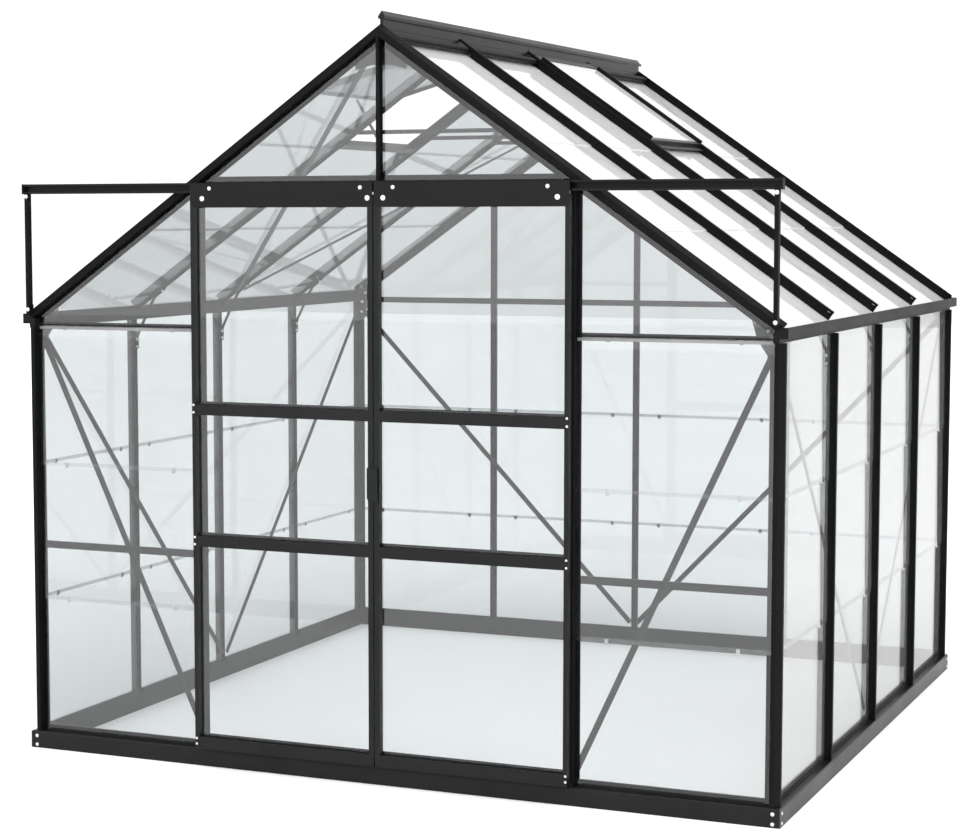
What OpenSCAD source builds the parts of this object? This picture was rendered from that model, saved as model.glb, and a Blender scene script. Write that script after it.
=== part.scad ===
// Glass greenhouse with twin sliding doors, aluminium frame and pitched roof.
// Z is up, X runs across the door end, Y runs back along the side walls.
// Depths (y) in the modules are measured inward from the front face of the
// plinth; shift() then centres the whole model's box on the origin.

/* [Plan] */
// Outer width of the plinth across the door end
width = 2570; // [2400:10:2700]
// Outer length of the plinth along the side walls
length = 2570; // [2400:10:2700]

/* [Heights] */
// Height of the plinth rails
base_h = 57; // [50:1:62]
// Height of the ridge line where the outer faces of the roof bars meet
ridge_z = 2354; // [2340:1:2360]
// Height of the horizontal rails beside the doors
mid_rail_z = 688; // [600:1:800]
// Height of the eave rails across the gable ends
eave_rail_z = 1421; // [1410:1:1426]
// Height of the lower glass lap in the walls
lap1_z = 510; // [440:1:580]
// Height of the upper glass lap in the walls
lap2_z = 960; // [880:1:1040]
// Height of the ties between the roof bars
tie_z = 2060; // [2000:1:2100]

/* [Plinth] */
// Width of the plinth rails from outer to inner face
base_w = 39; // [36:1:44]
// Wall thickness of the plinth section
base_t = 2; // [1.5:0.5:3]

/* [Glazing bars] */
// Set-back of the bars' outer face from the plinth face
bar_set = 3; // [2:0.5:4]
// Depth from the outer face of a bar to the glass seat
bar_seat = 28; // [26:1:29]
// How far the roof bars' caps stand above the rakes' front edge
roof_cap = 9; // [4:1:12]
// Depth of the glass seat below the rakes' front edge
roof_seat = 25; // [23:1:28]
// Width of the outer cap on a bar
cap_w = 15; // [12:1:20]
// Depth of the outer cap
cap_d = 7; // [5:1:10]
// Width of the glass flange on a bar
flange_w = 24; // [20:1:28]
// Thickness of the glass flanges
bar_t = 2; // [1.5:0.5:2.5]

/* [Glass] */
// Thickness of the glass
glass_t = 3; // [2.5:0.5:3]
// Overlap of one pane over the next
lap = 12; // [8:1:16]

/* [Doors] */
// Width of one door leaf
door_w = 636; // [620:1:640]
// Gap between the two leaves
door_gap = 5; // [3:0.5:6]
// Height of the lower edge of the leaves
door_z0 = 64; // [60:1:70]

/* [Vents] */
// Opening angle of the left roof vent
vent_open = 19; // [10:1:30]
// Length of a vent from hinge to free edge
vent_l = 540; // [480:1:560]

/* [Hidden] */

pitch = 35;                          // roof slope
tp = tan(pitch);
cp = cos(pitch);
sp = sin(pitch);
hw = width / 2;
y_front = -39;                       // foremost point, on the door pull
y_back = length + 4;                 // rearmost point, the gutter ends
y_mid = (y_front + y_back) / 2;
seat = bar_set + bar_seat;           // glass seat, in from the plinth face
bays = 4;
bay = (length - 2 * 23) / bays;
web = 34;                            // corner webs, in from the plinth face
jamb = 643;                          // web line of the door posts
sill_z = base_h + 20;                // inner upstand of the sills
wall_top = 1413;                     // underside of the eave beams
gut_z = 1426;                        // underside of the gutters
gut_top = 1459;                      // upper edge of the gutters
gut_x = 1291.5;                      // outer face of the gutters
head_z = 1904;                       // upper edge of the door head rail
track_z = 1852;                      // underside of the door track
track_h = 32;
track_l = 1274;                      // half length of the door track
door_y = -29.5;                      // front plane of the door leaves
black = [0.13, 0.13, 0.14];
grey = [0.32, 0.33, 0.34];
clear = [0.78, 0.87, 0.90, 0.4];

function roof_z(x) = ridge_z - tp * abs(x);
function bar_y(k) = 23 + k * bay;

module shift() { translate([0, -y_mid, 0]) children(); }
module pair() { children(); mirror([1, 0, 0]) children(); }
module left() { mirror([1, 0, 0]) children(); }
module rear() { translate([0, length, 0]) mirror([0, 1, 0]) children(); }
// box given by two opposite corners
module span(a, b) { translate(a) cube([b[0] - a[0], b[1] - a[1], b[2] - a[2]]); }
// local frame on the right roof slope: x along the ridge, y inward from the
// outer face, z up the slope; origin on the outer face at plan distance px
module on_roof(px, y = 0)
  multmatrix([[0, -sp, -cp, px], [1, 0, 0, y], [0, -cp, sp, roof_z(px)], [0, 0, 0, 1]]) children();
// half space x > 0 used to mitre parts at the ridge
module right_half() { intersection() { children(); span([0.2, -200, 0], [1500, 2800, 2600]); } }
// flat strip in the plane facing +Y between two points [x, z]
module strip_xz(a, b, w, t) {
  d = b - a;
  translate([a[0], 0, a[1]]) rotate([0, -atan2(d[1], d[0]), 0])
    translate([0, 0, -w / 2]) cube([norm(d), t, w]);
}
// the same between two points [y, z] in the plane facing +X
module strip_yz(a, b, w, t) {
  d = b - a;
  translate([0, a[0], a[1]]) rotate([atan2(d[1], d[0]), 0, 0])
    translate([0, 0, -w / 2]) cube([t, norm(d), w]);
}

// ---------------- sections ----------------

// plinth section: outer face at u = 0, closed box growing inward
module plinth_2d() difference() {
  polygon([[0, 0], [base_w, 0], [base_w, base_h], [3, base_h], [0, base_h - 3]]);
  translate([base_t, base_t]) square([base_w - 2 * base_t, base_h - 2 * base_t - 1]);
}
// plinth rail of outer length l with mitred ends, outer face at y = 0
module plinth_rail(l) intersection() {
  rotate([90, 0, 90]) translate([0, 0, -l / 2]) linear_extrude(l) plinth_2d();
  linear_extrude(base_h + 1)
    polygon([[-l / 2, 0], [l / 2, 0], [l / 2 - base_w, base_w], [-l / 2 + base_w, base_w]]);
}
// glazing bar section: outer cap at v = 0, glass seat at v = bar_seat
module bar_2d() {
  h = cap_w / 2;
  f = flange_w / 2;
  polygon([[-h, 1], [-h + 1, 0], [h - 1, 0], [h, 1], [h, cap_d], [3, cap_d],
    [3, bar_seat], [f, bar_seat], [f, bar_seat + bar_t], [1.5, bar_seat + bar_t],
    [1.5, 35], [-1.5, 35], [-1.5, bar_seat + bar_t], [-f, bar_seat + bar_t],
    [-f, bar_seat], [-3, bar_seat], [-3, cap_d], [-h, cap_d]]);
}
// corner post section for the front right corner, in plan
module corner_2d() polygon([
  [hw - web, 4], [hw - 20, 4], [hw - 6, 27], [hw - 6, 40], [hw - seat, 40],
  [hw - seat, 56], [hw - seat - bar_t, 56], [hw - seat - bar_t, 38], [hw - 38, 38],
  [hw - 38, seat + bar_t], [hw - 54, seat + bar_t], [hw - 54, seat], [hw - web, seat]]);
// rake section: [y, depth below the outer roof face]
module rake_2d() polygon([
  [4, 1], [5, 0], [32, -roof_cap], [38, -roof_cap], [38, cap_d - roof_cap], [33, cap_d - roof_cap],
  [33, roof_seat], [48, roof_seat], [48, roof_seat + bar_t], [33, roof_seat + bar_t],
  [33, 43], [seat, 43], [seat, 22], [4, 22]]);
// roof bar section: like bar_2d but with its cap raised and a taller web
module roof_bar_2d() {
  h = cap_w / 2;
  f = flange_w / 2;
  c = -roof_cap;
  polygon([[-h, c + 1], [-h + 1, c], [h - 1, c], [h, c + 1], [h, c + cap_d], [3, c + cap_d],
    [3, roof_seat], [f, roof_seat], [f, roof_seat + bar_t], [1.5, roof_seat + bar_t],
    [1.5, roof_seat + 7], [-1.5, roof_seat + 7], [-1.5, roof_seat + bar_t], [-f, roof_seat + bar_t],
    [-f, roof_seat], [-3, roof_seat], [-3, c + cap_d], [-h, c + cap_d]]);
}

// region under the roof's outer faces less v, between depths y0 and y1
module under_roof(v, y0, y1) translate([0, y1, 0]) rotate([90, 0, 0]) linear_extrude(y1 - y0)
  polygon([[-1320, 0], [1320, 0], [1320, roof_z(1320) - v / cp], [0, ridge_z - v / cp],
    [-1320, roof_z(1320) - v / cp]]);
// pane standing in a wall: x from a to b, z from z0 to z1, foot leaning out by lean
module pane(a, b, z0, z1, lean = 0) translate([a, 0, 0]) rotate([90, 0, 90]) linear_extrude(b - a)
  polygon([[seat - lean, z0], [seat, z1], [seat - glass_t, z1], [seat - glass_t - lean, z0]]);
// pane lying in the roof between plan distances p0 (lower) and p1 (upper)
module roof_pane(ya, yb, p0, p1, lean = 0) on_roof(p0, ya) rotate([90, 0, 90]) linear_extrude(yb - ya)
  polygon([[roof_seat - lean, 0], [roof_seat, (p0 - p1) / cp], [roof_seat - glass_t, (p0 - p1) / cp],
    [roof_seat - glass_t - lean, 0]]);

// ---------------- plinth and sills ----------------

module base_front() color(black) shift() plinth_rail(width);
module base_back() color(black) shift() rear() plinth_rail(width);
module base_right() color(black) shift()
  translate([hw, length / 2, 0]) rotate([0, 0, 90]) plinth_rail(length);
module base_left() color(black) shift() left()
  translate([hw, length / 2, 0]) rotate([0, 0, 90]) plinth_rail(length);

// L shaped sill: foot on the plinth, lip in front and upstand behind the glass
module sill(l) rotate([90, 0, 90]) linear_extrude(l) polygon([
  [seat - 8, base_h], [base_w, base_h], [base_w, sill_z], [seat, sill_z],
  [seat, base_h + 3], [seat - 6, base_h + 3], [seat - 6, base_h + 8], [seat - 8, base_h + 8]]);
module side_sills() {
  for (k = [0 : bays - 1]) let (a = k == 0 ? 57 : bar_y(k) + flange_w / 2,
      b = k == bays - 1 ? length - 57 : bar_y(k + 1) - flange_w / 2)
    translate([hw, a, 0]) rotate([0, 0, 90]) sill(b - a);
}
module wall_sills() color(grey) shift() {
  pair() translate([jamb + 14, 0, 0]) sill(hw - 54 - jamb - 14);
  pair() side_sills();
  rear() pair() {
    translate([flange_w / 2, 0, 0]) sill(bay - flange_w);
    translate([bay + flange_w / 2, 0, 0]) sill(hw - 54 - bay - flange_w / 2);
  }
}

// ---------------- posts and wall bars ----------------

module corner_post() translate([0, 0, base_h]) linear_extrude(wall_top - base_h) corner_2d();
module corner_posts_front() color(black) shift() pair() corner_post();
module corner_posts_back() color(black) shift() rear() pair() corner_post();

// door post: cap forward, glass seat outward, plain face to the doorway
module door_post() translate([0, 0, base_h]) linear_extrude(1900 - base_h) polygon([
  [jamb - 15, 4], [jamb, 4], [jamb, seat], [jamb + 14, seat], [jamb + 14, seat + bar_t],
  [jamb - 4, seat + bar_t], [jamb - 4, 38], [jamb - 22, 38], [jamb - 22, 36], [jamb - 6, 36],
  [jamb - 6, 9], [jamb - 15, 9]]);
module door_posts() color(black) shift() pair() {
  intersection() { door_post(); under_roof(22, 0, seat); }
  intersection() { door_post(); under_roof(43, seat, 60); }
}

module side_bars() for (k = [1 : bays - 1])
  translate([hw - bar_set, bar_y(k), base_h]) rotate([0, 0, 90])
    linear_extrude(wall_top - base_h) bar_2d();
module wall_bars_right() color(black) shift() side_bars();
module wall_bars_left() color(black) shift() left() side_bars();
module gable_bar(x) translate([x, bar_set, base_h]) linear_extrude(2300) bar_2d();
module wall_bars_back() color(black) shift() rear() for (k = [-1 : 1]) {
  intersection() { gable_bar(k * bay); under_roof(22, 0, seat); }
  intersection() { gable_bar(k * bay); under_roof(43, seat, seat + bar_t); }
  intersection() { gable_bar(k * bay); under_roof(112, seat + bar_t, 60); }
}

// ---------------- eaves, rakes and roof ----------------

// eave beam and gutter in one section, across the right hand side
module gutter() translate([0, 4 + length, 0]) rotate([90, 0, 0]) linear_extrude(length + 4) polygon([
  [hw - 38, wall_top], [hw - seat, wall_top], [hw - seat, gut_z], [hw - 21, gut_z],
  [hw - 21, wall_top], [hw - 19, wall_top], [hw - 19, gut_z], [gut_x, gut_z], [gut_x, gut_top],
  [gut_x - 4, gut_top], [gut_x - 4, gut_top - 2], [gut_x - 2, gut_top - 2],
  [gut_x - 2, gut_z + 2], [hw - 36, gut_z + 2], [hw - 36, 1442], [hw - 38, 1442]]);
// plates that close both ends of the gutter
module gutter_end() for (y = [0, length + 2]) translate([0, y + 2, 0]) rotate([90, 0, 0])
  linear_extrude(2) polygon([[hw - 38, wall_top], [hw - 19, wall_top], [hw - 19, gut_z],
    [gut_x, gut_z], [gut_x, gut_top], [hw - 14, gut_top], [hw - 38, 1442]]);
module gutter_right() color(grey) shift() union() { gutter(); gutter_end(); }
module gutter_left() color(grey) shift() left() union() { gutter(); gutter_end(); }

// rake: stops above the gutter and mitres with its partner at the ridge
module rake() difference() {
  right_half() on_roof(1246) translate([0, 0, -34]) linear_extrude(1640) rake_2d();
  span([hw - 38, -10, 1300], [1400, 100, 1442]);
}
module rakes_front() color(black) shift() pair() rake();
module rakes_back() color(black) shift() rear() pair() rake();

// roof bars: caps run up to the ridge, glazing flanges stop at the ridge wings
module roof_bars() for (k = [1 : bays - 1]) {
  intersection() {
    on_roof(1262, bar_y(k)) linear_extrude(1262 / cp) roof_bar_2d();
    span([40, 0, 1300], [1400, length, 2500]);
  }
  intersection() {
    on_roof(1262, bar_y(k)) translate([-cap_w / 2, -roof_cap, 0]) cube([cap_w, cap_d, 1300 / cp]);
    span([5.2, 0, 1300], [60, length, 2500]);
  }
}
module roof_bars_right() color(black) shift() roof_bars();
module roof_bars_left() color(black) shift() left() roof_bars();

// ties across the roof, bolted to the stems of the bars
module roof_ties() color(grey) shift() for (k = [1 : bays - 1])
  intersection() {
    translate([-378, bar_y(k) - 4.5, tie_z - 7]) cube([756, 3, 14]);
    under_roof(roof_seat + bar_t, bar_y(k) - 10, bar_y(k) + 10);
  }

// wings of the ridge that hold the top of the glass, right half
module ridge_wings() intersection() {
  union() {
    on_roof(100) translate([50, 8, 0]) cube([length - 100, 2, 200]);
    on_roof(100) translate([50, roof_seat, 0]) cube([length - 100, bar_t, 200]);
  }
  span([2.9, 0, 2200], [40, length, 2500]);
}
module ridge_cap() color(grey) shift() union() {
  translate([0, 2531, 0]) rotate([90, 0, 0]) linear_extrude(2492) polygon([
    [-5, ridge_z - 2], [5, ridge_z - 2], [5, 2378], [11, 2390], [9, 2393], [0, 2405],
    [-9, 2393], [-11, 2390], [-5, 2378]]);
  span([-11, 36, 2381], [11, 2548, 2390]);
  span([-3, 50, ridge_z - (roof_seat + bar_t) / cp], [3, length - 50, ridge_z + 1]);
  pair() ridge_wings();
}

// ---------------- gable rails ----------------

// mullion over the doorway
module gable_mullion() color(black) shift() {
  intersection() {
    translate([0, 0, 1886]) linear_extrude(460) polygon([[-4.5, 4], [4.5, 4], [4.5, 8],
      [1.5, 8], [1.5, seat], [-1.5, seat], [-1.5, 8], [-4.5, 8]]);
    under_roof(22, 0, seat);
  }
  intersection() {
    translate([0, 0, head_z]) linear_extrude(460) translate([-6, seat]) square([12, 2]);
    under_roof(43, seat, 60);
  }
}
// rail over the doorway, carries the track
module door_head_rail() color(grey) shift() intersection() {
  rotate([90, 0, 90]) translate([0, 0, -jamb + 6]) linear_extrude(2 * jamb - 12) polygon([
    [4, 1884], [seat, 1884], [seat, 1860], [seat + 2, 1860], [seat + 2, head_z],
    [seat, head_z], [seat, 1886], [4, 1886]]);
  under_roof(43, 0, 60);
}
// T shaped eave rail piece behind the glass, between two uprights
module eave_rail(a, b, e, f) union() {
  span([a, seat - glass_t, eave_rail_z], [b, seat, eave_rail_z + 2.5]);
  span([e, seat, eave_rail_z - 13], [f, seat + 2, eave_rail_z + 11]);
}
module front_rails() color(grey) shift() pair() {
  eave_rail(jamb, hw - 38, jamb + 14, hw - 54);
  union() {
    span([jamb + 14, seat, mid_rail_z - 12], [hw - 54, seat + 2, mid_rail_z + 12]);
    span([jamb + 14, seat + 2, mid_rail_z + 10], [hw - 54, seat + 7, mid_rail_z + 12]);
  }
}
module back_eave_rail() color(grey) shift() rear() pair() {
  eave_rail(3, bay - 3, flange_w / 2, bay - flange_w / 2);
  eave_rail(bay + 3, hw - 38, bay + flange_w / 2, hw - 54);
}

// ---------------- braces and gussets ----------------

module wall_braces_front() color(grey) shift() pair()
  translate([0, 38, 0]) strip_xz([hw - 46, 1382], [jamb - 2, 96], 20, 2);
module wall_braces_back() color(grey) shift() rear() pair()
  translate([0, 38, 0]) strip_xz([hw - 46, 1382], [14, 96], 20, 2);
module wall_braces_sides() color(grey) shift() pair() {
  translate([hw - 41, 0, 0]) strip_yz([56, 1390], [bar_y(2) - 14, 96], 20, 3);
  translate([hw - 41, 0, 0]) strip_yz([length - 56, 1390], [bar_y(2) + 14, 96], 20, 3);
}
// strip under the roof bars, eave end at y = a and ridge end at y = b
module roof_brace(a, b) let (d = [b - a, 1120 / cp])
  on_roof(1180, a) translate([0, roof_seat + 7, 0]) rotate([0, atan2(d[0], d[1]), 0])
    translate([-13, 0, 0]) cube([26, 2.5, norm(d)]);
module roof_braces() color(grey) shift() pair() {
  roof_brace(bar_y(2) - 22, 60);
  roof_brace(bar_y(2) + 22, length - 60);
}

// height of the underside of the roof flanges at plan distance x
function under_z(x) = roof_z(x) - (roof_seat + bar_t + 0.2) / cp;
// slim strut between the stems of a wall bar and a roof bar
module knee_strut() rotate([90, 0, 0]) linear_extrude(3) polygon([
  [hw - 33, 1308], [hw - 33, 1352], [hw - 39, 1364], [1190, 1474], [1176, under_z(1176)],
  [1128, under_z(1128)], [1128, under_z(1128) - 11], [1168, under_z(1168) - 12], [1182, 1468],
  [hw - 49, 1362], [hw - 44, 1350], [hw - 44, 1308]]);
// curved plate in a gable corner
module knee_plate() rotate([90, 0, 0]) linear_extrude(3) polygon([
  [hw - 38, 1342], [hw - 38, under_z(hw - 38)], [1185, under_z(1185)], [1176, under_z(1176) - 22],
  [1190, 1428], [1203, 1405], [1222, 1376], [1224, 1342]]);
module eave_gussets() color(grey) shift() pair() {
  for (k = [1 : bays - 1]) translate([0, bar_y(k) + 4.5, 0]) knee_strut();
  translate([0, 36, 0]) knee_plate();
  translate([0, length - 33, 0]) knee_plate();
}
module apex_plate(t) rotate([90, 0, 0]) linear_extrude(t) polygon([
  [0, under_z(0)], [92, under_z(92)], [84, under_z(84) - 36], [34, 2240], [-34, 2240],
  [-84, under_z(84) - 36], [-92, under_z(92)]]);
module apex_gussets() color(grey) shift() {
  for (k = [1 : bays - 1]) translate([0, bar_y(k) + 4.5, 0]) apex_plate(3);
  translate([0, 36, 0]) apex_plate(3);
  translate([0, length - 33, 0]) apex_plate(3);
}

// ---------------- door gear ----------------

// C shaped track, open to the front
module door_track() color(grey) shift()
  rotate([90, 0, 90]) translate([0, 0, -track_l]) linear_extrude(2 * track_l) polygon([
    [4, track_z], [4, track_z + track_h], [-19, track_z + track_h], [-19, track_z + track_h - 7],
    [-17, track_z + track_h - 7], [-17, track_z + track_h - 2], [2, track_z + track_h - 2],
    [2, track_z + 2], [-17, track_z + 2], [-17, track_z + 7], [-19, track_z + 7], [-19, track_z]]);
// bars that carry the free ends of the track
module track_drop_bars() color(black) shift() pair() union() {
  span([1252, -21, gut_top + 1], [1265, -19, track_z + 6]);
  span([1252, -19, gut_top + 1], [1265, 0, track_z]);
  span([1252, 0, gut_top + 1], [1265, 4, 1490]);
}
// strip on the plinth that guides the lower edge of the doors
module threshold_guide() color(grey) shift()
  rotate([90, 0, 90]) translate([0, 0, -620]) linear_extrude(1240) polygon([
    [-2, base_h - 7], [0, base_h - 7], [0, base_h], [14, base_h], [14, base_h + 2], [0, base_h + 2],
    [0, base_h + 17], [-2, base_h + 17]]);

// ---------------- vents ----------------

vent_y = cap_w / 2 + 2;              // set-in of a vent from the bar centres
// vent frame hanging from its hinge at the origin, outer face at y = 0
module vent_frame(w) difference() {
  union() {
    translate([0, 0, -vent_l]) cube([w, 12, vent_l]);
    translate([0, -1, -34]) cube([w, 4, 34]);
  }
  translate([14, -5, -vent_l + 16]) cube([w - 28, 30, vent_l - 50]);
  translate([3, 2, -vent_l + 3]) cube([w - 6, 30, vent_l - 6]);
}
module vent_pane(w) translate([4, 2, -vent_l + 4]) cube([w - 8, glass_t, vent_l - 36]);
vent_w = bay - 2 * vent_y;
hinge_x = 12;                        // plan distance of the hinge line
module vent_right() on_roof(hinge_x, bar_y(2) + vent_y) translate([0, -9, 0]) children();
module vent_left() left() on_roof(hinge_x, bar_y(1) + vent_y) translate([0, -9, 0])
  rotate([-vent_open, 0, 0]) children();
module vent_frame_right() color(grey) shift() vent_right() vent_frame(vent_w);
module vent_frame_left() color(grey) shift() vent_left() vent_frame(vent_w);
module vent_glass_right() color(clear) shift() vent_right() vent_pane(vent_w);
module vent_glass_left() color(clear) shift() vent_left() vent_pane(vent_w);
// Z shaped bar under the lower edge of a vent
sill_s = -vent_l + 6;
module vent_sill(w) rotate([90, 0, 90]) linear_extrude(w) polygon([
  [7, sill_s - 30], [7, sill_s + 2], [roof_seat, sill_s + 2], [roof_seat, sill_s - 20],
  [roof_seat + bar_t, sill_s - 20], [roof_seat + bar_t, sill_s + 4], [5, sill_s + 4], [5, sill_s - 30]]);
module vent_sills() color(grey) shift() {
  on_roof(hinge_x, bar_y(2) + 12) vent_sill(bay - 24);
  left() on_roof(hinge_x, bar_y(1) + 12) vent_sill(bay - 24);
}
// stays: a prop under the open vent, a folded one along the sill of the closed vent
leaf_a = pitch - vent_open;
hinge_p = [hinge_x + 9 * sp, roof_z(hinge_x) + 9 * cp];
function leaf_pt(t, v) = hinge_p + [t * cos(leaf_a) - v * sin(leaf_a), -t * sin(leaf_a) - v * cos(leaf_a)];
function slope_pt(s, v) = [hinge_x - cp * s - sp * v, roof_z(hinge_x) + sp * s - cp * v];
module vent_stays() color(grey) shift() {
  left() translate([0, bar_y(1) + bay / 2 - 1.5, 0])
    strip_xz(leaf_pt(vent_l - 8, 18.3), slope_pt(sill_s + 9, 20), 10, 3);
  on_roof(hinge_x, bar_y(2) + bay / 2 - 130) translate([0, 17, sill_s + 4]) cube([260, 3, 10]);
}

// ---------------- glass ----------------

lean = glass_t + 0.3;
module glass_panel(a, b, c) {
  pane(a, b, base_h + 3, lap1_z + lap / 2);
  pane(a, b, lap1_z - lap / 2, lap2_z + lap / 2, lean);
  pane(a, c, lap2_z - lap / 2, eave_rail_z - 1, lean);
}
// gable pane: wall plane piece under the rake line
module gable_pane(pts) translate([0, seat, 0]) rotate([90, 0, 0]) linear_extrude(glass_t) polygon(pts);
module glass_front() color(clear) shift() pair() {
  glass_panel(jamb + 1, hw - web - 1, hw - 39);
  gable_pane([[jamb + 1, eave_rail_z + 4], [hw - 39, eave_rail_z + 4],
    [hw - 39, roof_z(hw - 39) - 24 / cp], [jamb + 1, roof_z(jamb + 1) - 24 / cp]]);
  gable_pane([[2.5, 1888], [(ridge_z - 24 / cp - 1888) / tp, 1888], [2.5, roof_z(2.5) - 24 / cp]]);
}
module glass_back() color(clear) shift() rear() pair() {
  glass_panel(4, bay - 4, bay - 4);
  glass_panel(bay + 4, hw - web - 1, hw - 39);
  gable_pane([[bay + 4, eave_rail_z + 4], [hw - 39, eave_rail_z + 4],
    [hw - 39, roof_z(hw - 39) - 24 / cp], [bay + 4, roof_z(bay + 4) - 24 / cp]]);
  gable_pane([[4, eave_rail_z + 4], [bay - 4, eave_rail_z + 4],
    [bay - 4, roof_z(bay - 4) - 24 / cp], [4, roof_z(4) - 24 / cp]]);
}
module side_glass() translate([hw, 0, 0]) rotate([0, 0, 90]) for (k = [0 : bays - 1])
  let (a = k == 0 ? 41 : bar_y(k) + 4, b = k == bays - 1 ? length - 41 : bar_y(k + 1) - 4) {
    pane(a, b, base_h + 3, lap1_z + lap / 2);
    pane(a, b, lap1_z - lap / 2, lap2_z + lap / 2, lean);
    pane(a, b, lap2_z - lap / 2, wall_top + 6, lean);
  }
module glass_right() color(clear) shift() side_glass();
module glass_left() color(clear) shift() left() side_glass();
module roof_glass(vent_k) for (k = [0 : bays - 1])
  let (a = k == 0 ? 34 : bar_y(k) + 4, b = k == bays - 1 ? length - 34 : bar_y(k + 1) - 4) {
    roof_pane(a, b, 1268, 860 - lap / 2);
    roof_pane(a, b, 860 + lap / 2, k == vent_k ? hinge_x - sill_s * cp + 1 : 471 - lap / 2, lean);
    if (k != vent_k) roof_pane(a, b, 471 + lap / 2, 22, lean);
  }
module glass_roof_right() color(clear) shift() roof_glass(2);
module glass_roof_left() color(clear) shift() left() roof_glass(1);

// ---------------- doors ----------------

door_glass_y = door_y + 19.5;        // inner face of the door glass
// flat bar frame piece: front face bar with a glass flange behind
module stile(a, b, fa, fb, z0, z1) union() {
  span([a, door_y, z0], [b, door_glass_y - 3, z1]);
  span([fa, door_glass_y - 3, z0], [fb, door_glass_y + 2, z1]);
}
module leaf_frame(a, b, wa, wb) difference() {
  union() {
    span([a, door_y, door_z0 + 8], [a + wa, door_glass_y + 2, 1807]);
    span([b - wb, door_y, door_z0 + 8], [b, door_glass_y + 2, 1807]);
    span([a, door_y + 2, 1806], [b, door_glass_y + 2, 1844]);
    span([a, door_y, door_z0], [b, door_glass_y + 2, 102]);
    span([a + wa, door_glass_y, 102], [b - wb, door_glass_y + 2, 112]);
    span([a + wa, door_y, 723], [b - wb, door_glass_y + 2, 758]);
    span([a + wa, door_glass_y, 758], [b - wb, door_glass_y + 2, 768]);
    span([a + wa, door_y, 1147], [b - wb, door_glass_y + 2, 1181]);
    span([a + wa, door_glass_y, 1181], [b - wb, door_glass_y + 2, 1190]);
  }
  // hollow back of the rails and the glass slot
  span([a + wa + 2, door_y + 2, 725], [b - wb - 2, door_glass_y + 3, 756]);
  span([a + wa + 2, door_y + 2, 1149], [b - wb - 2, door_glass_y + 3, 1179]);
  span([a + 3, door_y + 2, door_z0 + 2], [b - 3, door_glass_y - 6, 98]);
}
module door_left_frame() color(grey) shift() leaf_frame(-door_gap / 2 - door_w, -door_gap / 2, 14, 17);
module door_right_frame() color(grey) shift() leaf_frame(door_gap / 2, door_gap / 2 + door_w, 17, 14);
module leaf_glass(a, b) {
  span([a, door_glass_y - 3, 104], [b, door_glass_y, 722]);
  span([a, door_glass_y - 3, 759], [b, door_glass_y, 1146]);
  span([a, door_glass_y - 3, 1182], [b, door_glass_y, 1805]);
}
module door_left_glass() color(clear) shift() leaf_glass(-door_gap / 2 - door_w + 14, -door_gap / 2 - 17);
module door_right_glass() color(clear) shift() leaf_glass(door_gap / 2 + 17, door_gap / 2 + door_w - 14);

// hanger plate across the top of a leaf with its two rollers in the track
module hanger(a, b) union() {
  span([a, door_y, 1807], [b, door_y + 2, 1883]);
  for (x = [a + 70, b - 42]) translate([x, 0, 1867]) rotate([90, 0, 0]) {
    translate([0, 0, 4]) cylinder(h = 9, r = 8, $fn = 48);
    translate([0, 0, 12]) cylinder(h = -door_y - 13, r = 3, $fn = 32);
  }
}
module door_left_hanger() color(grey) shift() hanger(-door_gap / 2 - door_w, -door_gap / 2);
module door_right_hanger() color(grey) shift() hanger(door_gap / 2, door_gap / 2 + door_w);
// pull plate on the left leaf, reaching over the edge of the right one
module door_pull() color(black) shift() translate([0, door_y, 0]) rotate([90, 0, 0]) union() {
  translate([0, 0, 6.5]) linear_extrude(3) polygon([[-19, 908], [-12, 901], [16, 901], [16, 1004], [-19, 1004]]);
  translate([-18, 906, 0]) cube([12, 94, 7]);
}

// ---------------- assembly ----------------

base_front();
base_back();
base_left();
base_right();
wall_sills();
corner_posts_front();
corner_posts_back();
door_posts();
wall_bars_left();
wall_bars_right();
wall_bars_back();
gutter_left();
gutter_right();
rakes_front();
rakes_back();
roof_bars_left();
roof_bars_right();
roof_ties();
ridge_cap();
gable_mullion();
door_head_rail();
front_rails();
back_eave_rail();
wall_braces_front();
wall_braces_back();
wall_braces_sides();
roof_braces();
eave_gussets();
apex_gussets();
door_track();
track_drop_bars();
threshold_guide();
vent_frame_left();
vent_frame_right();
vent_sills();
vent_glass_left();
vent_glass_right();
vent_stays();
glass_front();
glass_back();
glass_left();
glass_right();
glass_roof_left();
glass_roof_right();
door_left_frame();
door_left_glass();
door_left_hanger();
door_pull();
door_right_frame();
door_right_glass();
door_right_hanger();
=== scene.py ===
import math
import random
import bpy
import bmesh
from mathutils import Matrix, Vector


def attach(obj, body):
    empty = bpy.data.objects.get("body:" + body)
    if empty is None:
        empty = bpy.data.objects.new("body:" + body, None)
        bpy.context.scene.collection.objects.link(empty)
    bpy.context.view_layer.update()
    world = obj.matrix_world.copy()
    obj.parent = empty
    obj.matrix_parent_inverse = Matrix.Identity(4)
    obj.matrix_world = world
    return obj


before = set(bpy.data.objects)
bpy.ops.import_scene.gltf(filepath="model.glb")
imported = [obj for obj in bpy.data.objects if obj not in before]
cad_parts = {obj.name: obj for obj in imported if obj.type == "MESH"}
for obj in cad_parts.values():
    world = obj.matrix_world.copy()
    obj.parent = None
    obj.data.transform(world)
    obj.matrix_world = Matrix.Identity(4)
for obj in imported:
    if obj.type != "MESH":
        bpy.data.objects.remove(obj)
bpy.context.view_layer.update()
random.seed(7)

# ------------------------------------------------------------------ sizes (mm)
Y_MID = 1267.5          # depth of the frame's origin behind the plinth's front face
HW = 1285.0
RIDGE = 2354.0
PITCH = math.radians(35)
TP, CP, SP = math.tan(PITCH), math.cos(PITCH), math.sin(PITCH)
BARS = [23 + 631 * k for k in range(5)]
LENGTH = 2570.0


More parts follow.
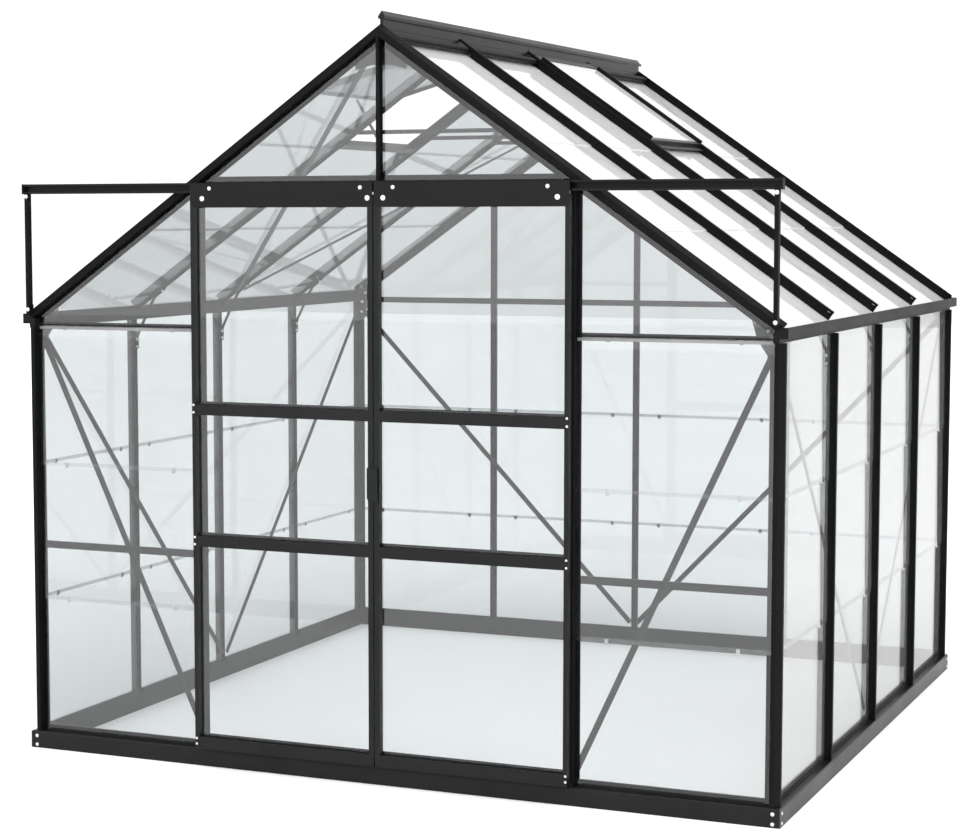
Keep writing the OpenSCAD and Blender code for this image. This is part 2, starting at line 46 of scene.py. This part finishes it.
def roof_z(x):
    return RIDGE - TP * abs(x)


def P(x, y, z):
    """Point given in mm with y inward from the plinth's front face, in metres."""
    return Vector((x / 1000, (y - Y_MID) / 1000, z / 1000))


# ------------------------------------------------------------------ camera
def make_camera():
    yaw, pitch, roll = math.radians(24.0105), math.radians(-5.1152), math.radians(-0.0998)
    fwd = Vector((-math.sin(yaw) * math.cos(pitch), math.cos(yaw) * math.cos(pitch), math.sin(pitch)))
    right = Vector((math.cos(yaw), math.sin(yaw), 0))
    up = right.cross(fwd)
    r2 = right * math.cos(roll) + up * math.sin(roll)
    u2 = -right * math.sin(roll) + up * math.cos(roll)
    cam = bpy.data.cameras.new("camera")
    cam.sensor_width = 36
    cam.lens = 2272.139 / 970 * 36
    cam.shift_x = (485 - 406.787) / 970
    cam.shift_y = (418.712 - 416.5) / 970
    cam.clip_end = 200
    o = bpy.data.objects.new("camera", cam)
    m = Matrix((r2, u2, -fwd)).transposed().to_4x4()
    m.translation = P(2932.054, -6358.818, 1780.654)
    o.matrix_world = m
    bpy.context.scene.collection.objects.link(o)
    bpy.context.scene.camera = o


make_camera()


# ------------------------------------------------------------------ materials
def new_mat(name):
    m = bpy.data.materials.new(name)
    m.use_nodes = True
    nt = m.node_tree
    nt.nodes.clear()
    out = nt.nodes.new("ShaderNodeOutputMaterial")
    return m, nt, out


def noise(nt, scale, detail=4.0, rough=0.55, stretch=(1, 1, 1)):
    tc = nt.nodes.new("ShaderNodeTexCoord")
    mp = nt.nodes.new("ShaderNodeMapping")
    mp.inputs["Scale"].default_value = stretch
    n = nt.nodes.new("ShaderNodeTexNoise")
    n.inputs["Scale"].default_value = scale
    n.inputs["Detail"].default_value = detail
    n.inputs["Roughness"].default_value = rough
    nt.links.new(tc.outputs["Object"], mp.inputs["Vector"])
    nt.links.new(mp.outputs["Vector"], n.inputs["Vector"])
    return n


def ramp(nt, src, a, b, lo=0.35, hi=0.65):
    r = nt.nodes.new("ShaderNodeValToRGB")
    r.color_ramp.elements[0].position = lo
    r.color_ramp.elements[1].position = hi
    r.color_ramp.elements[0].color = (*a, 1)
    r.color_ramp.elements[1].color = (*b, 1)
    nt.links.new(src, r.inputs["Fac"])
    return r


def span(nt, src, lo, hi):
    r = nt.nodes.new("ShaderNodeMapRange")
    r.inputs["From Min"].default_value = 0.3
    r.inputs["From Max"].default_value = 0.7
    r.inputs["To Min"].default_value = lo
    r.inputs["To Max"].default_value = hi
    nt.links.new(src, r.inputs["Value"])
    return r


def coat(name, dark, light, rough, spec, grain=420, bump=0.05, metallic=0.0, stretch=(1, 1, 1)):
    """Powder coat, anodised or moulded finish: cloudy tone and gloss, fine grain in bump."""
    m, nt, out = new_mat(name)
    b = nt.nodes.new("ShaderNodeBsdfPrincipled")
    cloud = noise(nt, 3.2, 5, 0.6)
    fine = noise(nt, grain, 2, 0.5, stretch)
    col = ramp(nt, cloud.outputs["Fac"], dark, light)
    nt.links.new(col.outputs["Color"], b.inputs["Base Color"])
    rr = span(nt, cloud.outputs["Fac"], rough[0], rough[1])
    nt.links.new(rr.outputs["Result"], b.inputs["Roughness"])
    b.inputs["Metallic"].default_value = metallic
    b.inputs["Specular IOR Level"].default_value = spec
    bp = nt.nodes.new("ShaderNodeBump")
    bp.inputs["Strength"].default_value = bump
    bp.inputs["Distance"].default_value = 0.0004
    nt.links.new(fine.outputs["Fac"], bp.inputs["Height"])
    nt.links.new(bp.outputs["Normal"], b.inputs["Normal"])
    nt.links.new(b.outputs["BSDF"], out.inputs["Surface"])
    return m


def glass(name, tint_and_shade, index, painted_reflection=0.0):
    """Sheet glass: clear, faintly blue, each face reflecting by Fresnel, with slight waviness. Its tint also carries
    painted shade, darker for faces seen into shade.
    """
    m, nt, out = new_mat(name)
    tr = nt.nodes.new("ShaderNodeBsdfTransparent")
    gl = nt.nodes.new("ShaderNodeBsdfGlossy")
    gl.inputs["Roughness"].default_value = 0.02
    wav = noise(nt, 1.3, 2, 0.5)
    bp = nt.nodes.new("ShaderNodeBump")
    bp.inputs["Strength"].default_value = 0.04
    bp.inputs["Distance"].default_value = 0.004
    nt.links.new(wav.outputs["Fac"], bp.inputs["Height"])
    nt.links.new(bp.outputs["Normal"], gl.inputs["Normal"])
    dust = noise(nt, 2.0, 6, 0.7)
    col = ramp(nt, dust.outputs["Fac"], tint_and_shade, tuple(min(1, c * 1.012) for c in tint_and_shade))
    nt.links.new(col.outputs["Color"], tr.inputs["Color"])
    geo = nt.nodes.new("ShaderNodeNewGeometry")
    ior = nt.nodes.new("ShaderNodeMapRange")
    ior.inputs["To Min"].default_value = index
    ior.inputs["To Max"].default_value = 1 / index
    nt.links.new(geo.outputs["Backfacing"], ior.inputs["Value"])
    fr = nt.nodes.new("ShaderNodeFresnel")
    nt.links.new(ior.outputs["Result"], fr.inputs["IOR"])
    mix = nt.nodes.new("ShaderNodeMixShader")
    nt.links.new(fr.outputs["Fac"], mix.inputs["Fac"])
    body = tr.outputs["BSDF"]
    if painted_reflection:
        # a pale veil, diffuse and translucent, lit by the lamps: painted reflection of the bright sky, whitening the
        # glass
        df = nt.nodes.new("ShaderNodeBsdfDiffuse")
        df.inputs["Color"].default_value = (0.9, 0.9, 0.9, 1)
        tl = nt.nodes.new("ShaderNodeBsdfTranslucent")
        tl.inputs["Color"].default_value = (0.9, 0.9, 0.9, 1)
        both = nt.nodes.new("ShaderNodeMixShader")
        both.inputs["Fac"].default_value = 0.5
        nt.links.new(df.outputs["BSDF"], both.inputs[1])
        nt.links.new(tl.outputs["BSDF"], both.inputs[2])
        # the veil is denser the flatter the glass is seen, as the painted reflection grows towards grazing angles
        lw = nt.nodes.new("ShaderNodeLayerWeight")
        lw.inputs["Blend"].default_value = 0.5
        amount = span(nt, lw.outputs["Facing"], painted_reflection * 0.06, painted_reflection)
        amount.inputs["From Min"].default_value = 0.25
        amount.inputs["From Max"].default_value = 0.68
        veil = nt.nodes.new("ShaderNodeMixShader")
        nt.links.new(amount.outputs["Result"], veil.inputs["Fac"])
        nt.links.new(tr.outputs["BSDF"], veil.inputs[1])
        nt.links.new(both.outputs["Shader"], veil.inputs[2])
        body = veil.outputs["Shader"]
    nt.links.new(body, mix.inputs[1])
    nt.links.new(gl.outputs["BSDF"], mix.inputs[2])
    nt.links.new(mix.outputs["Shader"], out.inputs["Surface"])
    return m


M_GREY = coat("powder_grey", (0.0064, 0.0066, 0.0069), (0.0090, 0.0092, 0.0096), (0.28, 0.38), 0.15)
M_EAVE = coat("gutter_grey", (0.0064, 0.0066, 0.0069), (0.0090, 0.0092, 0.0096), (0.42, 0.52), 0.07)
M_BLACK = coat("bar_black", (0.0034, 0.0034, 0.0036), (0.0050, 0.0050, 0.0053), (0.5, 0.62), 0.07, grain=300)
M_TRACK = coat("track_grey", (0.0050, 0.0051, 0.0053), (0.0070, 0.0072, 0.0074), (0.30, 0.40), 0.12, stretch=(0.04, 1, 1))
# each face gets its own copy of the sheet glass, its tint darkened as painted shade: darkest for the back, the left
# wall, the left roof and the open left vent leaf
M_GLASS = glass("sheet_glass", (0.918, 0.929, 0.932), 1.68)
M_FAR_PAINTED_SHADE = glass("far_glass_painted_shade", (0.775, 0.790, 0.795), 1.5)
# the right wall and the right roof carry the pale veil of painted reflection, strongest on the roof
M_SUNLIT = glass("sunlit_glass", (0.85, 0.856, 0.857), 1.75, 0.10)
M_ROOF = glass("roof_glass", (0.86, 0.872, 0.876), 1.6, 0.94)
M_LEAF = glass("shaded_glass", (0.50, 0.51, 0.515), 1.2)
M_BOLT = coat("zinc_bolt", (0.62, 0.62, 0.61), (0.75, 0.75, 0.74), (0.22, 0.36), 0.5, grain=900, metallic=0.9)
M_CLIP = coat("spring_clip", (0.34, 0.34, 0.34), (0.44, 0.44, 0.44), (0.3, 0.4), 0.5, grain=900, metallic=0.2)
M_RUBBER = coat("rubber_seal", (0.008, 0.008, 0.008), (0.014, 0.014, 0.014), (0.6, 0.75), 0.2, grain=600, bump=0.1)
M_NYLON = coat("nylon_white", (0.55, 0.55, 0.53), (0.66, 0.66, 0.64), (0.4, 0.5), 0.4)
M_BRACE = coat("brace_grey", (0.009, 0.0092, 0.0095), (0.013, 0.0132, 0.0136), (0.34, 0.46), 0.2)

# which face takes which copy of the glass; the darker tints are painted shade
GLASS_OF = {"glass_back": M_FAR_PAINTED_SHADE, "glass_left": M_FAR_PAINTED_SHADE, "glass_roof_left": M_FAR_PAINTED_SHADE, "vent_glass_left": M_LEAF, "glass_right": M_SUNLIT, "glass_roof_right": M_ROOF, "vent_glass_right": M_ROOF}
BLACK_NODES = {"corner_posts_front", "corner_posts_back", "door_posts", "wall_bars_left", "wall_bars_right",
               "wall_bars_back", "rakes_front", "rakes_back", "roof_bars_left", "roof_bars_right",
               "gable_mullion", "track_drop_bars"}
BRACES = {"wall_braces_front", "wall_braces_back", "wall_braces_sides", "roof_braces", "roof_ties",
          "eave_gussets", "apex_gussets", "vent_stays"}
TRACKS = {"door_track", "door_left_hanger", "door_right_hanger", "threshold_guide"}
for name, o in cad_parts.items():
    mat = M_GREY
    if "glass" in name:
        mat = GLASS_OF.get(name, M_GLASS)
    elif name in BLACK_NODES:
        mat = M_BLACK
    elif name in BRACES:
        mat = M_BRACE
    elif name in ("gutter_left", "gutter_right"):
        mat = M_EAVE
    elif name in TRACKS:
        mat = M_TRACK
    if len(o.material_slots) == 0:
        o.data.materials.append(mat)
    for s in o.material_slots:
        s.material = mat


# ------------------------------------------------------------------ mesh helpers
class Bag:
    """Collects small shapes into one mesh."""

    def __init__(self):
        self.v, self.f, self.smooth = [], [], []

    def add(self, verts, faces, m, smooth=False):
        k = len(self.v)
        self.v += [m @ Vector(v) for v in verts]
        self.f += [[i + k for i in f] for f in faces]
        self.smooth += [smooth] * len(faces)

    def lathe(self, profile, m, n=20):
        """Profile of (r, z) from axis to axis, turned about local Z."""
        verts, faces = [], []
        for r, z in profile:
            for i in range(n):
                a = 2 * math.pi * i / n
                verts.append((r * math.cos(a), r * math.sin(a), z))
        for j in range(len(profile) - 1):
            for i in range(n):
                a, b = j * n + i, j * n + (i + 1) % n
                faces.append([a, b, b + n, a + n])
        faces.append([i for i in range(n)][::-1])
        faces.append([(len(profile) - 1) * n + i for i in range(n)])
        self.add(verts, faces, m, False)

    def box(self, lo, hi, m=Matrix(), c=0.0004):
        """Box with chamfered edges."""
        bm = bmesh.new()
        bmesh.ops.create_cube(bm, size=1)
        for v in bm.verts:
            v.co = Vector([lo[i] + (v.co[i] + 0.5) * (hi[i] - lo[i]) for i in range(3)])
        if c:
            bmesh.ops.bevel(bm, geom=bm.edges[:] + bm.verts[:], offset=c, segments=2, affect="EDGES", profile=0.6)
        bm.verts.index_update()
        self.add([v.co.copy() for v in bm.verts], [[v.index for v in f.verts] for f in bm.faces], m)
        bm.free()

    def prism(self, pts, depth, m, c=0.0003):
        """Polygon in local XY pushed up by depth along local Z, edges chamfered."""
        bm = bmesh.new()
        vs = [bm.verts.new((x, y, 0)) for x, y in pts]
        f = bm.faces.new(vs)
        r = bmesh.ops.extrude_face_region(bm, geom=[f])
        for v in r["geom"]:
            if isinstance(v, bmesh.types.BMVert):
                v.co.z += depth
        bmesh.ops.recalc_face_normals(bm, faces=bm.faces[:])
        if c:
            bmesh.ops.bevel(bm, geom=bm.edges[:], offset=c, segments=1, affect="EDGES")
        bm.verts.index_update()
        self.add([v.co.copy() for v in bm.verts], [[v.index for v in g.verts] for g in bm.faces], m)
        bm.free()

    def make(self, name, mat, body, slot):
        me = bpy.data.meshes.new(name)
        me.from_pydata([tuple(v) for v in self.v], [], self.f)
        me.update()
        me.materials.append(mat)
        for p, s in zip(me.polygons, self.smooth):
            p.use_smooth = s
        o = bpy.data.objects.new(name, me)
        bpy.context.scene.collection.objects.link(o)
        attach(o, body)
        return o


def facing(p, d):
    """Matrix at point p whose local Z points along d."""
    q = Vector(d).normalized().to_track_quat("Z", "Y")
    return Matrix.Translation(p) @ q.to_matrix().to_4x4()


def pan_head(bag, p, d, r=0.0065, h=0.0035):
    bag.lathe([(r * 1.35, 0.0002), (r * 1.35, 0.0009), (r, 0.001), (r, h * 0.55), (r * 0.86, h * 0.85),
               (r * 0.5, h), (r * 0.42, h), (r * 0.40, h * 0.6), (0.0004, h * 0.6)], facing(p, d), 22)


def hex_nut(bag, p, d, r=0.0048, h=0.004, stud=0.003):
    bag.lathe([(r * 1.4, 0.0002), (r * 1.4, 0.001), (r * 1.38, 0.0011), (0.0005, 0.0011)], facing(p, d), 22)
    bag.lathe([(r * 0.92, 0.001), (r, 0.0014), (r, h), (r * 0.9, h + 0.0004), (0.0005, h + 0.0004)], facing(p, d), 6)
    bag.lathe([(0.003, h), (0.003, h + stud), (0.0024, h + stud + 0.0005), (0.0004, h + stud + 0.0005)],
              facing(p, d), 14)


MIR = Matrix.Scale(-1, 4, (1, 0, 0))

# ------------------------------------------------------------------ fixings on the fixed body
bolts = Bag()
for sx in (-1, 1):
    for z in (41, 11):
        pan_head(bolts, P(sx * (HW - 22), 0, z), (0, -1, 0), 0.0044)
        pan_head(bolts, P(sx * (HW - 22), LENGTH, z), (0, 1, 0), 0.0044)
        pan_head(bolts, P(sx * HW, 22, z), (sx, 0, 0), 0.0044)
        pan_head(bolts, P(sx * HW, LENGTH - 22, z), (sx, 0, 0), 0.0044)
    # feet of the inner roof bars
    n = (sx * SP, 0, CP)
    for y in BARS[1:4]:
        pan_head(bolts, P(sx * 1252, y, roof_z(1252)), n, 0.0055)
    # feet and heads of the bars that carry the track
    pan_head(bolts, P(sx * 1258.5, -21, 1474), (0, -1, 0), 0.0048)
    pan_head(bolts, P(sx * 1258.5, -21, 1858 - 14), (0, -1, 0), 0.0048)
bolts.make("fixing_bolts", M_BOLT, "greenhouse", "rail_grey")

# nuts on the knee and apex plates, seen through the glass and from inside
nuts = Bag()
KNEE = [(1240, 1368), (1240, 1410), (1224, 1448), (1186, 1474)]
STRUT = [(1246, 1316), (1246, 1342), (1140, 1516)]
APEX = [(20, 2294), (60, 2266)]
for sx in (-1, 1):
    for x, z in KNEE:
        for y, d in ((36, 1), (LENGTH - 36, -1)):
            hex_nut(nuts, P(sx * x, y, z), (0, d, 0))
            pan_head(nuts, P(sx * x, 33 if y < 100 else LENGTH - 33, z), (0, -d, 0), 0.0036, 0.0016)
    for x, z in STRUT:
        for y in BARS[1:4]:
            hex_nut(nuts, P(sx * x, y + 4.5, z), (0, 1, 0))
            pan_head(nuts, P(sx * x, y + 1.5, z), (0, -1, 0), 0.0042)
    for x, z in APEX:
        for y, d in ((36, 1), (LENGTH - 36, -1)):
            hex_nut(nuts, P(sx * x, y, z), (0, d, 0))
            pan_head(nuts, P(sx * x, 33 if y < 100 else LENGTH - 33, z), (0, -d, 0), 0.0036, 0.0016)
        for y in BARS[1:4]:
            hex_nut(nuts, P(sx * x, y + 4.5, z), (0, 1, 0))
            pan_head(nuts, P(sx * x, y + 1.5, z), (0, -1, 0), 0.0042)
nuts.make("plate_nuts", M_BOLT, "greenhouse", "rail_grey")

# ------------------------------------------------------------------ glass clips at the laps
clips = Bag()


def lap_clip(m):
    """Z clip that hooks two panes together: outer tongue, step and inner hook."""
    clips.box((-0.006, -0.0012, -0.010), (0.006, -0.0004, 0.004), m, 0.0002)
    clips.box((-0.006, -0.0044, -0.0118), (0.006, -0.0036, -0.0070), m, 0.0002)
    clips.box((-0.006, -0.0044, -0.0118), (0.006, -0.0004, -0.0110), m, 0.0002)


def wall_m(x, y, z, turn):
    return Matrix.Translation(P(x, y, z)) @ Matrix.Rotation(turn, 4, "Z")


for z in (510, 960):
    for sx in (-1, 1):
        for x in (741, 1147):
            lap_clip(wall_m(sx * x, 28, z, 0))
        for x in (100, 530, 741, 1147):
            lap_clip(wall_m(sx * x, LENGTH - 28, z, math.pi))
        for a, b in ((41, 650), (658, 1281), (1289, 1912), (1920, 2529)):
            for y in (a + 95, b - 95):
                lap_clip(wall_m(sx * (HW - 28), y, z, sx * math.pi / 2))
clips.make("glass_clips", M_CLIP, "greenhouse", "rail_grey")

# raised edge seals along both sides of each roof vent
seals = Bag()
PITCH = math.radians(35)
SP, CP = math.sin(PITCH), math.cos(PITCH)
BAY = (LENGTH - 46) / 4
VENT_W = (BAY - 19) / 1000
for side in (1, -1):
    k = 2 if side > 0 else 1
    y0 = 23 + k * BAY + (9.5 if side > 0 else BAY - 9.5)
    o = P(side * 12, y0, roof_z(12))
    basis = Matrix(((0, -side * SP, -side * CP, o[0]), (side, 0, 0, o[1]), (0, -CP, SP, o[2]), (0, 0, 0, 1)))
    turn = Matrix.Rotation(math.radians(0 if side > 0 else -19), 4, "X")
    m = basis @ Matrix.Translation((0, -0.009, 0)) @ turn
    for a in (0.0002, VENT_W - 0.0122):
        seals.prism([(a, -0.0110), (a + 0.0020, -0.0120), (a + 0.0100, -0.0120), (a + 0.0120, -0.0110),
                     (a + 0.0120, 0.0), (a, 0.0)], 0.500, m @ Matrix.Translation((0, 0, -0.537)), 0.0003)
seals.make("vent_seals", M_BLACK, "greenhouse", "bar_black")

# rubber strips that close the top of the roof glass under the ridge, and the joint in the ridge
ridge_seals = Bag()
for side in (1, -1):
    for k in range(4):
        if k == (2 if side > 0 else 1):
            continue
        a = 36 if k == 0 else 23 + k * BAY + 9
        b = LENGTH - 36 if k == 3 else 23 + (k + 1) * BAY - 9
        o = P(side * 26, a if side > 0 else b, roof_z(26))
        basis = Matrix(((0, -side * SP, -side * CP, o[0]), (side, 0, 0, o[1]), (0, -CP, SP, o[2]), (0, 0, 0, 1)))
        n = (b - a) / 1000
        ridge_seals.box((0, -0.0020, -0.0165), (n, 0.0076, 0), basis, 0.0008)
    x0, x1 = sorted((side * 5.0, side * 5.5))
    ridge_seals.box(P(x0, 1284, 2354), P(x1, 1286, 2377.5), Matrix(), 0)
ridge_seals.make("ridge_seals", M_RUBBER, "greenhouse", "bar_black")

# light clamping strips along the foot of the gable glass
strips = Bag()
for sx in (-1, 1):
    a, b = sorted((sx * 645, sx * 1244))
    strips.box(P(a, 26.2, 1408), P(b, 27.9, 1417), Matrix(), 0.0003)
    a, b = sorted((sx * 5, sx * 626))
    strips.box(P(a, LENGTH - 27.9, 1408), P(b, LENGTH - 26.2, 1417), Matrix(), 0.0003)
    a, b = sorted((sx * 636, sx * 1244))
    strips.box(P(a, LENGTH - 27.9, 1408), P(b, LENGTH - 26.2, 1417), Matrix(), 0.0003)
    for x in (741, 1147):
        strips.box(P(sx * x - 5, 25.2, 1405), P(sx * x + 5, 26.3, 1420), Matrix(), 0.0003)
M_STRIP = coat("strip_alu", (0.18, 0.18, 0.18), (0.24, 0.24, 0.24), (0.3, 0.4), 0.4, metallic=0.3)
strips.make("glass_strips", M_STRIP, "greenhouse", "rail_grey")

# ------------------------------------------------------------------ track ends and door fixings
ends = Bag()
for sx in (-1, 1):
    a, b = sorted((sx * 1274.2, sx * 1275.6))
    ends.box(P(a, -20, 1851.5), P(b, 3.5, 1884.5), Matrix(), 0.0004)
ends.make("track_end_caps", M_RUBBER, "greenhouse", "rail_grey")

for side, x0, x1, small, big in (("left", -638, -2, (-569, -43), (-595, -19)),
                                 ("right", 2, 638, (67, 569), (34, 600))):
    body = "door_" + side
    b = Bag()
    for x in small:
        pan_head(b, P(x, -29.5, 1866), (0, -1, 0), 0.0046)
    for x in big:
        pan_head(b, P(x, -29.5, 1834), (0, -1, 0), 0.0060)
    outer = x0 + 5 if side == "left" else x1 - 5
    for z in (1187 - 8, 1155, 758 - 5, 730, 97, 71 + 8):
        pan_head(b, P(outer, -29.5, z), (0, -1, 0), 0.0028, 0.0018)
    b.make("door_" + side + "_bolts", M_BOLT, body, "rail_grey")

pull = Bag()
for x, z in ((-10, 993), (-10, 914)):
    pan_head(pull, P(x, -39 + 3.2, z), (0, -1, 0), 0.0042, 0.0024)
pull.make("pull_screws", M_BOLT, "door_left", "rail_grey")

# ------------------------------------------------------------------ floor and light
bpy.ops.mesh.primitive_plane_add(size=60, location=(0, 0, 0))
floor = bpy.context.object
floor.name = "floor"
fm, nt, out = new_mat("floor_pale")
fb = nt.nodes.new("ShaderNodeBsdfPrincipled")
fn = noise(nt, 0.7, 3)
fc = ramp(nt, fn.outputs["Fac"], (0.88, 0.88, 0.88), (0.91, 0.91, 0.91))
nt.links.new(fc.outputs["Color"], fb.inputs["Base Color"])
fb.inputs["Roughness"].default_value = 0.85
fb.inputs["Specular IOR Level"].default_value = 0.1
nt.links.new(fb.outputs["BSDF"], out.inputs["Surface"])
floor.data.materials.append(fm)

world = bpy.data.worlds.new("studio")
bpy.context.scene.world = world
world.use_nodes = True
wn = world.node_tree
bg = wn.nodes["Background"]
tc = wn.nodes.new("ShaderNodeTexCoord")
dot = wn.nodes.new("ShaderNodeVectorMath")
dot.operation = "DOT_PRODUCT"
dot.inputs[1].default_value = Vector((0.15, -0.85, 0.5)).normalized()
wn.links.new(tc.outputs["Generated"], dot.inputs[0])
mr = wn.nodes.new("ShaderNodeMapRange")
mr.inputs["From Min"].default_value = 0.0
mr.inputs["From Max"].default_value = 1.0
mr.inputs["To Min"].default_value = 1.12
mr.inputs["To Max"].default_value = 2.5
wn.links.new(dot.outputs["Value"], mr.inputs["Value"])
wn.links.new(mr.outputs["Result"], bg.inputs["Strength"])
bg.inputs["Color"].default_value = (1.0, 1.0, 1.0, 1)


def area(name, loc, target, size, energy, color=(1, 1, 1)):
    l = bpy.data.lights.new(name, "AREA")
    l.shape = "RECTANGLE"
    l.size, l.size_y = size
    l.energy = energy
    l.color = color
    o = bpy.data.objects.new(name, l)
    o.location = loc
    o.rotation_euler = (Vector(target) - Vector(loc)).to_track_quat("-Z", "Y").to_euler()
    bpy.context.scene.collection.objects.link(o)


area("key", (5.5, -3.5, 6.5), (0, 0, 1.0), (5, 5), 160)
bpy.context.scene.view_settings.view_transform = "Standard"
